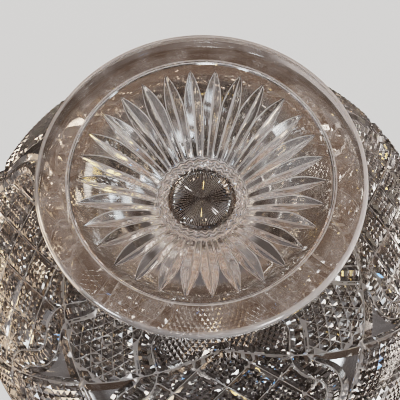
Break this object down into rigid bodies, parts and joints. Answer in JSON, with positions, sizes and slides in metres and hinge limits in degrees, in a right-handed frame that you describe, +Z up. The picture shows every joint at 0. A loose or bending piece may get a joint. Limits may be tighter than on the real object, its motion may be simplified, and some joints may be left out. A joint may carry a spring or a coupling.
{
  "type": "punch bowl",
  "caption": "Heavy cut-glass punch bowl with a scalloped rim, lifting off a low glass stand whose foot is cut with a rayed star underneath.",
  "frame": {"origin": "centre of the flat ring that the foot stands on", "axes": "+Z up along the axis that both pieces are turned about, from the foot to the bowl's rim; +X and +Y are across the bowl through the tops of rim scallops"},
  "size_m": [0.305, 0.305, 0.16],
  "materials": {
    "stand_glass": "clear polished cut glass, lightly scratched on the ring it stands on",
    "bowl_glass": "clear polished cut glass"
  },
  "bodies": {
    "stand": {"stand": "stand_glass"},
    "bowl": {"bowl": "bowl_glass"}
  },
  "joints": [
    {"name": "bowl_lift", "type": "slide", "parent": "stand", "child": "bowl", "axis": [0, 0, 1], "range_m": [0, 0.05]}
  ]
}
